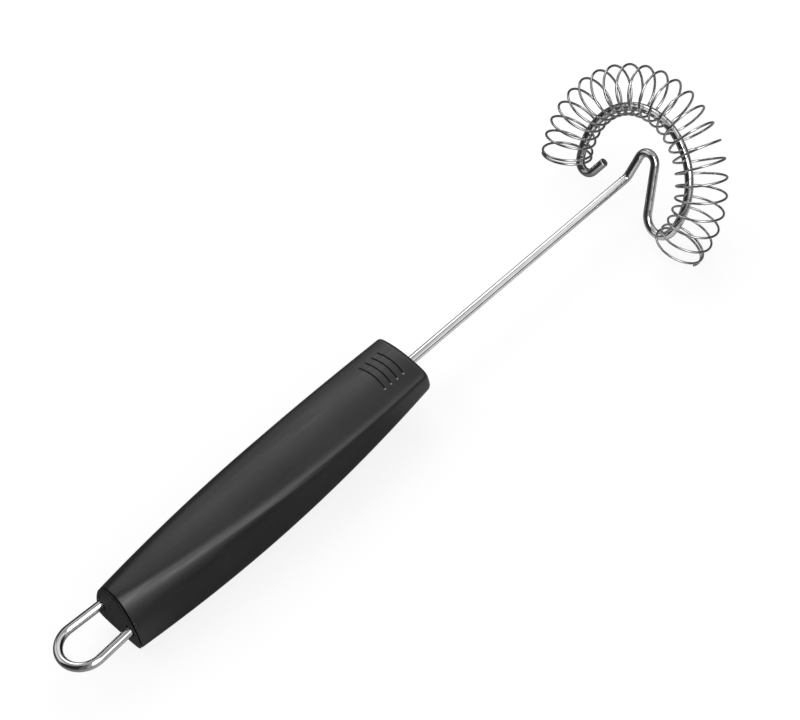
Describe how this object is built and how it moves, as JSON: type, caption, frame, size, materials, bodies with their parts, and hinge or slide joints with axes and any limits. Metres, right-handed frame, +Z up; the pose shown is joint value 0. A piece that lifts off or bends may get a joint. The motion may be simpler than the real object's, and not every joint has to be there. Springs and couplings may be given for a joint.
{
  "type": "spring-head sauce whisk",
  "caption": "Sauce whisk with a moulded black handle, a wire hanging loop, a long steel shaft and an open wire ring wound with a loose coil spring.",
  "frame": {"origin": "on the flat rear end of the handle, which leans forward 5 degrees, where the axis of the straight shaft meets it", "axes": "+X along the shaft from the handle to the whisking head, +Y to the left, +Z up out of the handle's flat side"},
  "size_m": [0.2762, 0.0758, 0.0481],
  "materials": {
    "black_plastic": "satin black, moulded",
    "inner_plastic": "plain moulded, hidden",
    "steel_wire": "polished stainless steel wire",
    "spring_steel": "polished stainless spring wire"
  },
  "bodies": {
    "handle": {"handle_shell": "black_plastic", "end_cap": "black_plastic", "wire_carrier": "inner_plastic", "hanging_loop": "steel_wire", "whisk_wire": "steel_wire"},
    "coil": {"coil_spring": "spring_steel"}
  },
  "joints": [
    {"name": "coil_shift", "type": "hinge", "parent": "handle", "child": "coil", "pos_m": [0.22807, -0.0024, 0.00122], "axis": [-0.8161, 0, 0.5779], "range_deg": [-1, 2]}
  ]
}
